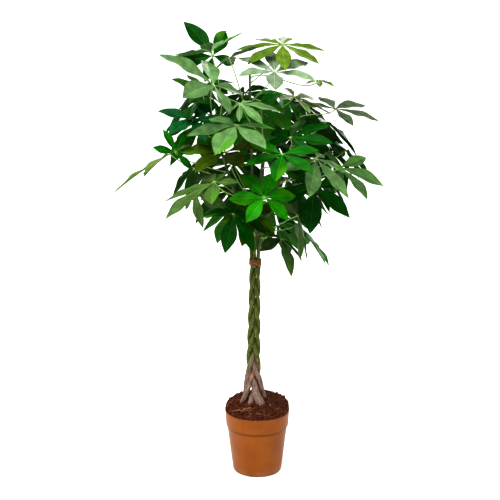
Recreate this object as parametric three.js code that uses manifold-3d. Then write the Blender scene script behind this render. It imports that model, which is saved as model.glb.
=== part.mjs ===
// Potted money tree: a nursery pot of peat, five young stems plaited into one trunk, and palmate leaves.
// Millimetres and degrees. +Z is up, -Y is the front, and the origin is the middle of the pot's underside.
import * as THREE from "three";
import { mergeVertices } from "three/addons/utils/BufferGeometryUtils.js";
import ManifoldModule from "manifold-3d";

const wasm = await ManifoldModule();
wasm.setup();

const GAP = 0.3; // clearance between pieces that touch
const UP = new THREE.Vector3(0, 0, 1);

const POT = {
  height: 205,
  lipRadius: 105,
  lipInner: 101.5,
  bandHeight: 50, // the wide rim band
  bandStep: 3.5, // how far the band stands out from the wall
  wallTop: 98.5,
  wallFoot: 80,
  wall: 2.2,
  floor: 6.5, // inner floor above the ground
  chamfer: 6,
  padRadius: 45, // flat middle of the underside
  footInner: 66,
  footOuter: 75,
  recess: 2.5, // the drained ring between pad and foot
  drainHoles: 6,
  drainRadius: 5,
  segments: 32,
};

const SOIL = { edge: 205.6, crown: 33, crownAt: [6, 38], lump: 2.6, seed: 7 };

const PLAIT = {
  foot: 335,
  head: 712,
  period: 330, // height in which a stem goes once round the plait
  edgeHeight: 386, // where the first stem lies at the left edge
  halfWidth: [17.0, 12.2], // centre lines, at the foot and at the head
  halfDepth: [13.4, 10.2],
  dwell: 1.25, // above 1, a stem stays longer in the middle than at the edges
  radius: [6.8, 5.0],
  axis: [new THREE.Vector2(-13, 5), new THREE.Vector2(-7, 0)],
  knots: 18,
};

const TIE = { bottom: 689, top: 711, wall: 0.9, segments: 24, square: 0.56 };

const SIDES = 8; // sides of a stem
const BURIED = 118; // how deep the stems reach

// Each stem: the points its leg passes on the way down from the plait, its radius at the soil and the
// point where its leafy top ends.
const STEMS = [
  {
    leg: [[-17, 12, 320], [-12, 4, 304], [-8, -7, 285], [-1, -15, 255], [16, -22, 215]],
    root: [26, -32],
    thigh: 7.0,
    flare: 13,
    top: [-145, -35, 1180],
  },
  {
    leg: [[-31, 9, 308], [-33, 20, 285], [-35, 35, 255], [-38, 52, 215]],
    root: [-46, 64],
    thigh: 8.8,
    flare: 9.5,
    top: [20, -125, 1120],
  },
  {
    leg: [[-17, -3, 320], [-22, -8, 304], [-28, -9, 285], [-40, -5, 250], [-54, 2, 215]],
    root: [-64, 6],
    thigh: 6.3,
    flare: 6.4,
    top: [30, 130, 1210],
  },
  {
    leg: [[0, 15, 312], [-6, 14, 290], [-11, 5, 268], [-18, -9, 243], [-25, -22, 215]],
    root: [-31, -34],
    thigh: 6.6,
    flare: 8.5,
    top: [130, -30, 1170],
  },
  {
    leg: [[5, -2, 315], [9, 4, 295], [15, 14, 262], [25, 28, 215]],
    root: [34, 40],
    thigh: 7.4,
    flare: 9.5,
    top: [-25, 10, 1300],
  },
];
const TIP_RADIUS = 3.2;

// ---------- helpers ----------

function lerp(pair, t) {
  return pair[0] + (pair[1] - pair[0]) * t;
}

function radians(degrees) {
  return (degrees * Math.PI) / 180;
}

// A repeatable random number source.
function seeded(seed) {
  let state = seed >>> 0;
  return () => {
    state = (state + 0x6d2b79f5) >>> 0;
    let t = state;
    t = Math.imul(t ^ (t >>> 15), t | 1);
    t ^= t + Math.imul(t ^ (t >>> 7), t | 61);
    return ((t ^ (t >>> 14)) >>> 0) / 4294967296;
  };
}

// A mesh under construction: vertices and triangles.
class Shell {
  constructor() {
    this.points = [];
    this.faces = [];
  }

  vertex(v) {
    this.points.push(v.x, v.y, v.z);
    return this.points.length / 3 - 1;
  }

  ring(vectors) {
    return vectors.map((v) => this.vertex(v));
  }

  triangle(a, b, c) {
    this.faces.push(a, b, c);
  }

  // Side faces between two rings of as many vertices, both counterclockwise seen from `upper`.
  band(lower, upper) {
    const n = lower.length;
    for (let i = 0; i < n; i++) {
      const j = (i + 1) % n;
      this.triangle(lower[i], lower[j], upper[j]);
      this.triangle(lower[i], upper[j], upper[i]);
    }
  }

  fan(ring) {
    for (let i = 1; i < ring.length - 1; i++) this.triangle(ring[0], ring[i], ring[i + 1]);
  }

  geometry() {
    const g = new THREE.BufferGeometry();
    g.setAttribute("position", new THREE.Float32BufferAttribute(this.points, 3));
    g.setIndex(this.faces);
    return g;
  }
}

function solidOf(geometry) {
  const bare = new THREE.BufferGeometry();
  const loose = geometry.index ? geometry.toNonIndexed() : geometry;
  bare.setAttribute("position", loose.getAttribute("position"));
  const merged = mergeVertices(bare, 1e-3);
  const triVerts = [];
  for (let i = 0; i < merged.index.count; i += 3) {
    const [a, b, c] = [0, 1, 2].map((k) => merged.index.getX(i + k));
    if (a !== b && b !== c && c !== a) triVerts.push(a, b, c);
  }
  const vertProperties = new Float32Array(merged.getAttribute("position").array);
  const mesh = new wasm.Mesh({ numProp: 3, vertProperties, triVerts: new Uint32Array(triVerts) });
  return new wasm.Manifold(mesh);
}

function geometryOf(solid) {
  const mesh = solid.getMesh();
  const g = new THREE.BufferGeometry();
  g.setAttribute("position", new THREE.Float32BufferAttribute(mesh.vertProperties, 3));
  g.setIndex(new THREE.BufferAttribute(mesh.triVerts, 1));
  return g;
}

// A solid of revolution about Z from a closed outline of [radius, height].
function turned(outline, segments) {
  const profile = outline.map(([r, z]) => new THREE.Vector2(r, z));
  return new THREE.LatheGeometry(profile, segments).rotateX(Math.PI / 2);
}

// ---------- pot and soil ----------

function potGeometry() {
  const p = POT;
  const bandBottom = p.height - p.bandHeight;
  const bandRadius = p.wallTop + p.bandStep;
  const outline = [
    [0, 0],
    [p.padRadius, 0],
    [p.padRadius + 1, p.recess],
    [p.footInner, p.recess],
    [p.footInner, 0],
    [p.footOuter, 0],
    [p.wallFoot, p.chamfer],
    [p.wallTop, bandBottom - 3],
    [bandRadius, bandBottom],
    [p.lipRadius, p.height - 4],
    [p.lipRadius - 0.8, p.height],
    [p.lipInner, p.height],
    [bandRadius - p.wall, bandBottom + 2],
    [p.wallTop - p.wall, bandBottom - 4],
    [p.wallFoot - p.wall, p.floor + 4],
    [p.wallFoot - p.wall - 4, p.floor],
    [0, p.floor],
  ];
  let solid = solidOf(turned(outline, p.segments));
  const holeRing = (p.padRadius + 1 + p.footInner) / 2;
  for (let i = 0; i < p.drainHoles; i++) {
    const angle = ((i + 0.5) * 2 * Math.PI) / p.drainHoles;
    const hole = new THREE.CylinderGeometry(p.drainRadius, p.drainRadius, 4 * p.floor, 8);
    hole.rotateX(Math.PI / 2);
    hole.translate(holeRing * Math.cos(angle), holeRing * Math.sin(angle), 0);
    solid = solid.subtract(solidOf(hole));
  }
  return geometryOf(solid);
}

// The peat fills the pot, lies on the lip and is heaped and lumpy on top.
function soilGeometry(stems) {
  const p = POT;
  const random = seeded(SOIL.seed);
  const shell = new Shell();
  const bandBottom = p.height - p.bandHeight;
  const wallInner = p.wallTop - p.wall;
  const sides = [
    [p.wallFoot - p.wall - 4 - GAP, p.floor + GAP],
    [p.wallFoot - p.wall - GAP, p.floor + 4 + GAP],
    [wallInner - GAP, bandBottom - 4],
    [p.lipInner - 2.4, p.height - 30],
    [p.lipInner - GAP - 0.1, p.height + GAP],
    [p.lipRadius - 1.6, p.height + GAP],
    [p.lipRadius + 0.6, p.height + 4],
  ];
  const radii = [100, 88, 72, 54, 34, 15];
  const circle = (radius, height) =>
    Array.from({ length: p.segments }, (_, i) => {
      const a = (i * 2 * Math.PI) / p.segments;
      const x = radius * Math.cos(a);
      const y = radius * Math.sin(a);
      return new THREE.Vector3(x, y, height(x, y));
    });
  const floor = shell.vertex(new THREE.Vector3(0, 0, p.floor + GAP));
  const rings = sides.map(([r, z]) => shell.ring(circle(r, () => z)));
  const heap = (x, y) => {
    const d = Math.hypot(x - SOIL.crownAt[0], y - SOIL.crownAt[1]) / (1.25 * p.lipRadius);
    const ridge = Math.max(0, 1 - d * d);
    return SOIL.edge + 3.5 + SOIL.crown * ridge + SOIL.lump * (random() * 2 - 1);
  };
  radii.forEach((r) => rings.push(shell.ring(circle(r, heap))));
  const crown = shell.vertex(new THREE.Vector3(0, 0, heap(0, 0)));
  const n = p.segments;
  for (let i = 0; i < n; i++) {
    shell.triangle(floor, rings[0][(i + 1) % n], rings[0][i]);
    shell.triangle(crown, rings.at(-1)[i], rings.at(-1)[(i + 1) % n]);
  }
  for (let k = 0; k < rings.length - 1; k++) shell.band(rings[k], rings[k + 1]);
  let solid = solidOf(shell.geometry());
  for (const stem of stems) solid = solid.subtract(solidOf(stemGeometry(stem, GAP, SOIL.edge + 70)));
  return geometryOf(solid);
}

// ---------- stems ----------

// The centre of a stem in the plait at height z: a five-strand plait, whose stems run to and fro once in
// width and twice in depth.
function plaitPoint(index, z) {
  const t = (z - PLAIT.foot) / (PLAIT.head - PLAIT.foot);
  const turn = radians(180 + 72 * index + (360 * (z - PLAIT.edgeHeight)) / PLAIT.period);
  const axis = PLAIT.axis[0].clone().lerp(PLAIT.axis[1], t);
  const swing = Math.sign(Math.cos(turn)) * Math.abs(Math.cos(turn)) ** PLAIT.dwell;
  return new THREE.Vector3(
    axis.x + lerp(PLAIT.halfWidth, t) * swing,
    axis.y - lerp(PLAIT.halfDepth, t) * Math.sin(2 * turn),
    z,
  );
}

// A stem from its root end to its top, as a list of { at, radius }.
function stemStations(index) {
  const { leg, root, thigh, flare, top } = STEMS[index];
  const below = leg.map(([x, y, z], i) => ({
    at: new THREE.Vector3(x, y, z),
    radius: lerp([thigh, flare], (i / (leg.length - 1)) ** 2),
  }));
  below.push({ at: new THREE.Vector3(...root, BURIED), radius: flare * 0.8 });
  const stations = below.reverse();
  for (let i = 0; i <= PLAIT.knots; i++) {
    const t = i / PLAIT.knots;
    const z = lerp([PLAIT.foot, PLAIT.head], t);
    stations.push({ at: plaitPoint(index, z), radius: lerp(PLAIT.radius, t) });
  }
  const head = plaitPoint(index, PLAIT.head);
  const slope = head.clone().sub(plaitPoint(index, PLAIT.head - 1));
  const end = new THREE.Vector3(...top);
  const rise = end.z - head.z;
  const shoot = new THREE.CubicBezierCurve3(
    head,
    head.clone().add(new THREE.Vector3(slope.x * 0.15, slope.y * 0.15, 1).multiplyScalar(110)),
    end.clone().sub(new THREE.Vector3((end.x - head.x) * 0.25, (end.y - head.y) * 0.25, rise * 0.35)),
    end,
  );
  const steps = Math.round(rise / 45);
  for (let i = 1; i <= steps; i++) {
    const t = i / steps;
    stations.push({ at: shoot.getPoint(t), radius: lerp([PLAIT.radius[1], TIP_RADIUS], t) });
  }
  return stations;
}

function tangentAt(stations, i) {
  const before = stations[Math.max(i - 1, 0)].at;
  const after = stations[Math.min(i + 1, stations.length - 1)].at;
  return after.clone().sub(before).normalize();
}

// Rings of points square to the line through the stations, turned as little as possible from one to the next.
function tubeRings(stations, sides, first) {
  let side = first.clone();
  return stations.map(({ at, radius }, i) => {
    const along = tangentAt(stations, i);
    side = side.clone().addScaledVector(along, -side.dot(along)).normalize();
    const other = along.clone().cross(side);
    return Array.from({ length: sides }, (_, k) => {
      const a = (k * 2 * Math.PI) / sides;
      return at
        .clone()
        .addScaledVector(side, radius * Math.cos(a))
        .addScaledVector(other, radius * Math.sin(a));
    });
  });
}

function stemGeometry(index, grow = 0, cutAt = Infinity) {
  const stations = stemStations(index)
    .filter(({ at }) => at.z < cutAt)
    .map(({ at, radius }) => ({ at: at.clone(), radius: radius + grow }));
  stations[0].at.z -= grow;
  const shell = new Shell();
  const rings = tubeRings(stations, SIDES, new THREE.Vector3(1, 0, 0)).map((r) => shell.ring(r));
  for (let i = 0; i < rings.length - 1; i++) shell.band(rings[i], rings[i + 1]);
  shell.fan(rings[0].slice().reverse());
  shell.fan(rings.at(-1));
  return shell.geometry();
}

// The soft band round the head of the plait.
function tieGeometry() {
  const outline = (z, extra) => {
    const t = (z - PLAIT.foot) / (PLAIT.head - PLAIT.foot);
    const axis = PLAIT.axis[0].clone().lerp(PLAIT.axis[1], t);
    const grow = lerp(PLAIT.radius, t) * 1.05 + GAP + extra;
    return Array.from({ length: TIE.segments }, (_, i) => {
      const a = (i * 2 * Math.PI) / TIE.segments;
      const [c, s] = [Math.cos(a), Math.sin(a)].map((v) => Math.sign(v) * Math.abs(v) ** TIE.square);
      const x = (lerp(PLAIT.halfWidth, t) + grow) * c;
      const y = (lerp(PLAIT.halfDepth, t) + grow) * s;
      return new THREE.Vector3(axis.x + x, axis.y + y, z);
    });
  };
  const shell = new Shell();
  const inner = [TIE.bottom, TIE.top].map((z) => shell.ring(outline(z, 0)));
  const outer = [TIE.bottom, TIE.top].map((z) => shell.ring(outline(z, TIE.wall)));
  shell.band(outer[0], outer[1]);
  shell.band(outer[1], inner[1]);
  shell.band(inner[1], inner[0]);
  shell.band(inner[0], outer[0]);
  return shell.geometry();
}

// ---------- leaves ----------

const LEAF = {
  petioleRadius: 1.9,
  pulvinusRadius: 3.2, // the swollen foot of the stalk
  hubRadius: 4.6,
  hubHeight: 3.4,
  halfWidth: 0.17, // of the leaflet's length, where the leaf itself doesn't say otherwise
  fullStep: 52, // a closer set of leaflets is as much narrower
  fold: 13, // how far each half of a leaflet is raised from the midrib's plane
  midrib: 1.8, // thickness there
  // along a leaflet: [share of its length, share of its full width]
  stations: [[0.27, 0.5], [0.55, 1], [0.81, 0.66]],
};

// Leaves that make the outline and the front. hub: where the leaflets meet. The blade faces up, leaned by
// `lean` toward the heading `toward`; `spin` is the heading of its longest leaflet; `droop` bends the
// leaflets from the blade's plane, and `sag` is how far their tips hang besides, as a share of their length.
// Headings run counterclockwise from +X. `fade` shortens the leaflets beside the stalk.
const FRONT_LEAVES = [
  {
    stem: 1, from: 1150, hub: [-125, -205, 1260], size: 190, count: 5,
    lean: 40, toward: 325, spin: 175, droop: 0, sag: 0.1, step: 67, fade: 0.5,
    halfWidth: 0.2,
  },
  {
    stem: 1, from: 1130, hub: [-140, -35, 1355], size: 145, count: 6,
    lean: 20, toward: 175, spin: 145, droop: -10, sag: 0, step: 49, fade: 0.2,
  },
  {
    stem: 5, from: 1170, hub: [-85, -95, 1335], size: 105, count: 5,
    lean: 30, toward: 165, spin: 20, droop: 5, sag: 0.03, step: 67, fade: 0.35,
  },
  {
    stem: 5, from: 1200, hub: [50, -115, 1295], size: 130, count: 6,
    lean: 25, toward: 285, spin: 125, droop: -10, sag: 0.12, step: 58, fade: 0,
    halfWidth: 0.2,
  },
  {
    stem: 5, from: 1260, hub: [75, -30, 1375], size: 150, count: 7,
    lean: 20, toward: 275, spin: 225, droop: 10, sag: 0.01, step: 48, fade: 0.1,
  },
  {
    stem: 4, from: 1160, hub: [240, 30, 1180], size: 160, count: 5,
    lean: 25, toward: 65, spin: 300, droop: 5, sag: 0.05, step: 55, fade: 0.45,
  },
  {
    stem: 5, from: 1130, hub: [110, -40, 1220], size: 125, count: 5,
    lean: 25, toward: 330, spin: 355, droop: 0, sag: 0.05, step: 58, fade: 0.4,
  },
  {
    stem: 2, from: 1110, hub: [-50, -235, 1210], size: 125, count: 6,
    lean: 30, toward: 240, spin: 35, droop: 25, sag: 0.12, step: 55, fade: 0.65,
    halfWidth: 0.18,
  },
  {
    stem: 2, from: 1090, hub: [-60, -230, 1150], size: 165, count: 5,
    lean: 20, toward: 270, spin: 250, droop: 5, sag: 0.03, step: 55, fade: 0.5,
    halfWidth: 0.2,
  },
  {
    stem: 1, from: 1090, hub: [-195, -85, 1155], size: 115, count: 5,
    lean: 35, toward: 285, spin: 295, droop: -10, sag: 0.11, step: 60, fade: 0.05,
    halfWidth: 0.21,
  },
  {
    stem: 1, from: 970, hub: [-270, -20, 1045], size: 205, count: 5,
    lean: 30, toward: 170, spin: 190, droop: 0, sag: 0.12, step: 60, fade: 0.5,
  },
  {
    stem: 1, from: 990, hub: [-245, -110, 1060], size: 80, count: 5,
    lean: 65, toward: 300, spin: 85, droop: 0, sag: 0, step: 55, fade: 0.1,
  },
  {
    stem: 2, from: 920, hub: [-120, -330, 1000], size: 185, count: 6,
    lean: 25, toward: 205, spin: 185, droop: 5, sag: 0.01, step: 53, fade: 0.6,
  },
  {
    stem: 1, from: 790, hub: [-70, -215, 890], size: 120, count: 6,
    lean: 35, toward: 285, spin: 30, droop: 25, sag: 0.14, step: 51, fade: 0.1,
    halfWidth: 0.22,
  },
  {
    stem: 2, from: 950, hub: [20, -250, 945], size: 115, count: 6,
    lean: 50, toward: 285, spin: 105, droop: 10, sag: 0.03, step: 55, fade: 0.2,
    halfWidth: 0.22,
  },
  {
    stem: 2, from: 1010, hub: [170, -190, 1050], size: 155, count: 6,
    lean: 30, toward: 305, spin: 295, droop: 15, sag: 0.04, step: 54, fade: 0.5,
  },
  {
    stem: 4, from: 940, hub: [245, -125, 1015], size: 150, count: 5,
    lean: 60, toward: 40, spin: 40, droop: -25, sag: 0.16, step: 56, fade: 0.43,
  },
  {
    stem: 4, from: 910, hub: [170, -110, 955], size: 150, count: 5,
    lean: 50, toward: 285, spin: 270, droop: 5, sag: 0.06, step: 60, fade: 0.3,
    halfWidth: 0.2,
  },
  {
    stem: 4, from: 800, hub: [120, -150, 875], size: 185, count: 5,
    lean: 65, toward: 350, spin: 85, droop: 15, sag: 0.08, step: 62, fade: 0.37,
  },
  {
    stem: 4, from: 780, hub: [75, -75, 790], size: 125, count: 5,
    lean: 35, toward: 335, spin: 300, droop: 15, sag: 0.15, step: 66, fade: 0.65,
    halfWidth: 0.2,
  },
  {
    stem: 4, from: 1060, hub: [95, -180, 1110], size: 150, count: 6,
    lean: 35, toward: 240, spin: 50, droop: 15, sag: 0.04, step: 44, fade: 0.5,
    halfWidth: 0.2,
  },
  {
    stem: 1, from: 830, hub: [-195, -45, 940], size: 135, count: 5,
    lean: 70, toward: 230, spin: 300, droop: 25, sag: 0.06, step: 56, fade: 0.5,
  },
  {
    stem: 1, from: 1160, hub: [-165, 35, 1225], size: 135, count: 5,
    lean: 50, toward: 35, spin: 240, droop: 10, sag: 0.12, step: 62, fade: 0.39,
    halfWidth: 0.2,
  },
  {
    stem: 1, from: 1100, hub: [-140, 105, 1340], size: 150, count: 5,
    lean: 70, toward: 298, spin: 145, droop: 15, sag: 0.01, step: 65, fade: 0.5,
    halfWidth: 0.2,
  },
  {
    stem: 2, from: 1060, hub: [70, -260, 1070], size: 120, count: 5,
    lean: 30, toward: 270, spin: 260, droop: 0, sag: 0.05, step: 57, fade: 0.1,
    halfWidth: 0.2,
  },
  {
    stem: 2, from: 900, hub: [-95, -165, 1065], size: 135, count: 5,
    lean: 25, toward: 245, spin: 230, droop: -10, sag: 0.11, step: 65, fade: 0,
    halfWidth: 0.21,
  },
  {
    stem: 2, from: 790, hub: [-20, -105, 870], size: 105, count: 5,
    lean: 50, toward: 270, spin: 255, droop: 5, sag: 0.05, step: 66, fade: 0.3,
    halfWidth: 0.22,
  },
  {
    stem: 5, from: 1275, hub: [190, 70, 1265], size: 60, count: 5,
    lean: 10, toward: 300, spin: 330, droop: 5, sag: 0.1, step: 58, fade: 0.2,
  },
];

// Leaves that fill the crown, placed by rule. Places are drawn one after another, and a leaf grows at the
// clear place that covers most of what is still bare inside the crown's outline, seen from the front.
const CROWN = {
  seed: 10,
  leaves: 24,
  draws: 500, // places drawn for each leaf
  tries: 8, // clear places, each better than the one before, that are enough
  lowest: 740, // height at which the lowest stalk leaves its stem
  belowTop: 10, // the highest stalk's distance from its stem's top
  reach: [45, 230], // from the stem to the hub, level
  rise: [20, 120], // and up
  size: [125, 190],
  halfWidth: 0.215, // of the leaflet's length
  count: [6, 7],
  lean: [25, 50],
  turn: [-25, 25], // from the stalk's heading to the longest leaflet's
  droop: [8, 24],
  sag: [0.08, 0.2],
  step: 56,
  fullCircle: 345, // all the leaflets stay within this
  fade: 0.4,
  depth: [-160, 360],
  cell: 12, // grid that the outline is filled on
  waste: 3, // what a cell outside the outline costs
  // [height, left edge, right edge]
  outline: [
    [715, -100, 110], [750, -110, 150], [800, -160, 165], [830, -185, 185], [855, -210, 230],
    [880, -235, 265], [905, -230, 235], [955, -200, 320], [980, -220, 340], [1030, -315, 315],
    [1080, -330, 235], [1105, -300, 230], [1130, -270, 215], [1180, -280, 200], [1205, -215, 135],
    [1235, -230, 130], [1245, -240, -65], [1300, -250, -85], [1345, -285, -95], [1370, -195, -100],
    [1415, -205, -150],
  ],
};
const EYE = { distance: 3000, height: 1370 }; // of someone who looks at the crown's front

// The point and the radius of a stem at height z.
function stemAt(index, z) {
  const stations = stemStations(index);
  const i = stations.findIndex((s) => s.at.z > z) - 1;
  const [a, b] = [stations[i], stations[i + 1]];
  const t = (z - a.at.z) / (b.at.z - a.at.z);
  return {
    at: a.at.clone().lerp(b.at, t),
    radius: lerp([a.radius, b.radius], t),
    along: b.at.clone().sub(a.at).normalize(),
  };
}

// A place for a leaf of the crown, drawn at random.
function drawLeaf(random) {
  const between = (pair) => lerp(pair, random());
  const stem = 1 + Math.floor(random() * STEMS.length);
  const from = between([CROWN.lowest, STEMS[stem - 1].top[2] - CROWN.belowTop]);
  const toward = random() * 360;
  const reach = between(CROWN.reach);
  const heading = radians(toward);
  const hub = stemAt(stem - 1, from).at;
  hub.x += reach * Math.cos(heading);
  hub.y += reach * Math.sin(heading);
  hub.z += between(CROWN.rise);
  const count = Math.floor(between([CROWN.count[0], CROWN.count[1] + 1]));
  return {
    stem,
    from,
    hub: hub.toArray(),
    size: between(CROWN.size),
    halfWidth: CROWN.halfWidth,
    count,
    lean: between(CROWN.lean),
    toward,
    spin: toward + between(CROWN.turn),
    droop: between(CROWN.droop),
    sag: between(CROWN.sag),
    step: Math.min(CROWN.step, CROWN.fullCircle / count),
    fade: CROWN.fade,
  };
}

// Is a point of the front view, at x and height z, inside the crown's outline?
function inOutline(x, z) {
  const above = CROWN.outline.findIndex((row) => row[0] > z);
  if (above < 1) return false;
  const [low, high] = [CROWN.outline[above - 1], CROWN.outline[above]];
  const t = (z - low[0]) / (high[0] - low[0]);
  return x > lerp([low[1], high[1]], t) && x < lerp([low[2], high[2]], t);
}

// The cells of the front view that a leaf covers, each with whether it lies inside the outline.
function cellsOf(geometry) {
  const corners = geometry.getAttribute("position");
  const flat = Array.from({ length: corners.count }, (_, i) => {
    const share = EYE.distance / (EYE.distance + corners.getY(i));
    const z = EYE.height + (corners.getZ(i) - EYE.height) * share;
    return [(corners.getX(i) * share) / CROWN.cell, z / CROWN.cell];
  });
  const side = (p, q, x, z) => (q[0] - p[0]) * (z - p[1]) - (q[1] - p[1]) * (x - p[0]);
  const cells = new Map();
  const index = geometry.index.array;
  for (let i = 0; i < index.length; i += 3) {
    const [a, b, c] = [flat[index[i]], flat[index[i + 1]], flat[index[i + 2]]];
    const [left, right] = [Math.min(a[0], b[0], c[0]), Math.max(a[0], b[0], c[0])];
    const [bottom, top] = [Math.min(a[1], b[1], c[1]), Math.max(a[1], b[1], c[1])];
    for (let x = Math.ceil(left); x <= right; x++) {
      for (let z = Math.ceil(bottom); z <= top; z++) {
        const covered = side(a, b, x, z) >= 0 && side(b, c, x, z) >= 0 && side(c, a, x, z) >= 0;
        if (covered) cells.set(x + " " + z, inOutline(x * CROWN.cell, z * CROWN.cell));
      }
    }
  }
  return cells;
}

// What a leaf on these cells adds to the crown, where `taken` are covered already.
function worthOf(cells, taken) {
  let worth = 0;
  cells.forEach((inside, cell) => {
    if (!inside) worth -= CROWN.waste;
    else if (!taken.has(cell)) worth += 1;
  });
  return worth;
}

function inDepth(geometry) {
  geometry.computeBoundingBox();
  const { min, max } = geometry.boundingBox;
  return min.y > CROWN.depth[0] && max.y < CROWN.depth[1];
}

function meets(a, b) {
  const [p, q] = [a.boundingBox(), b.boundingBox()];
  if ([0, 1, 2].some((k) => p.min[k] > q.max[k] || q.min[k] > p.max[k])) return false;
  return a.intersect(b).volume() > 0;
}

// The crown's leaves, clear of each other and of the geometries that are there first.
function growCrown(before) {
  const random = seeded(CROWN.seed);
  const solids = before.map(solidOf);
  const taken = new Set(before.flatMap((geometry) => [...cellsOf(geometry).keys()]));
  const leaves = [];
  for (let i = 0; i < CROWN.leaves; i++) {
    let best = { worth: -Infinity };
    let clear = 0;
    for (let draw = 0; draw < CROWN.draws && clear < CROWN.tries; draw++) {
      const leaf = drawLeaf(random);
      const geometry = leafGeometry(leaf);
      if (!inDepth(geometry)) continue;
      const cells = cellsOf(geometry);
      const worth = worthOf(cells, taken);
      if (worth <= best.worth) continue;
      const solid = solidOf(geometry);
      if (solids.some((other) => meets(solid, other))) continue;
      clear += 1;
      best = { worth, leaf, cells, solid };
    }
    if (!best.leaf) throw new Error("no place left for a leaf");
    leaves.push(best.leaf);
    solids.push(best.solid);
    best.cells.forEach((_, cell) => taken.add(cell));
  }
  return leaves;
}

// A leaf's frame: normal, forward (its longest leaflet) and left.
function bladeFrame(leaf) {
  const lean = radians(leaf.lean);
  const toward = radians(leaf.toward);
  const normal = new THREE.Vector3(
    Math.sin(lean) * Math.cos(toward),
    Math.sin(lean) * Math.sin(toward),
    Math.cos(lean),
  );
  const turn = new THREE.Quaternion().setFromUnitVectors(UP, normal);
  const spin = radians(leaf.spin);
  const forward = new THREE.Vector3(Math.cos(spin), Math.sin(spin), 0).applyQuaternion(turn);
  return { normal, forward, left: normal.clone().cross(forward) };
}

// The stalk from the stem's surface to the underside of the hub.
function stalkStations(leaf, frame, hub) {
  const stem = stemAt(leaf.stem - 1, leaf.from);
  const reach = hub.clone().sub(stem.at);
  const radial = reach.clone().addScaledVector(stem.along, -reach.dot(stem.along)).normalize();
  const foot = stem.at.clone().addScaledVector(radial, stem.radius + GAP);
  const end = hub.clone().addScaledVector(frame.normal, -LEAF.hubHeight / 2);
  const span = end.distanceTo(foot);
  const arrival = frame.normal.clone().addScaledVector(reach.normalize(), 0.8).normalize();
  const path = new THREE.CubicBezierCurve3(
    foot,
    foot.clone().addScaledVector(radial, span * 0.25).addScaledVector(stem.along, span * 0.15),
    end.clone().addScaledVector(arrival, -span * 0.3),
    end,
  );
  const shares = [0, 0.3, 0.68, 1];
  const stations = shares.map((t) => ({ at: path.getPoint(t), radius: LEAF.petioleRadius }));
  stations[0].radius = LEAF.pulvinusRadius;
  return { stations, radial };
}

function leafGeometry(leaf) {
  const shell = new Shell();
  const frame = bladeFrame(leaf);
  const hub = new THREE.Vector3(...leaf.hub);
  const step = radians(leaf.step);
  const first = -((leaf.count - 1) / 2) * step;
  const corners = Array.from({ length: leaf.count + 1 }, (_, j) => first + (j - 0.5) * step);
  const spoke = (angle, x, y) =>
    x.clone().multiplyScalar(Math.cos(angle)).addScaledVector(y, Math.sin(angle));
  const hubRing = (radius, height) =>
    corners.map((a) =>
      hub
        .clone()
        .addScaledVector(spoke(a, frame.forward, frame.left), radius)
        .addScaledVector(frame.normal, height),
    );
  const top = shell.ring(hubRing(LEAF.hubRadius, LEAF.hubHeight / 2));
  const bottom = shell.ring(hubRing(LEAF.hubRadius, -LEAF.hubHeight / 2));
  shell.fan(top);

  // stalk, from the hub back to the stem
  const { stations, radial } = stalkStations(leaf, frame, hub);
  let side = frame.forward.clone();
  let upper = bottom;
  for (let i = stations.length - 2; i >= 0; i--) {
    const along = i > 0 ? tangentAt(stations, i) : radial;
    side = side.clone().addScaledVector(along, -side.dot(along)).normalize();
    const other = along.clone().cross(side);
    const { at, radius } = stations[i];
    const ring = shell.ring(corners.map((a) => at.clone().addScaledVector(spoke(a, side, other), radius)));
    shell.band(ring, upper);
    upper = ring;
  }
  shell.fan(upper.slice().reverse());

  // the closed side of the hub, between the last leaflet and the first
  const last = leaf.count;
  shell.triangle(bottom[last], bottom[0], top[0]);
  shell.triangle(bottom[last], top[0], top[last]);

  for (let i = 0; i < leaf.count; i++) {
    const root = { tr: top[i], tl: top[i + 1], br: bottom[i], bl: bottom[i + 1] };
    addLeaflet(shell, leaf, frame, hub, first + i * step, root);
  }
  return shell.geometry();
}

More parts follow.
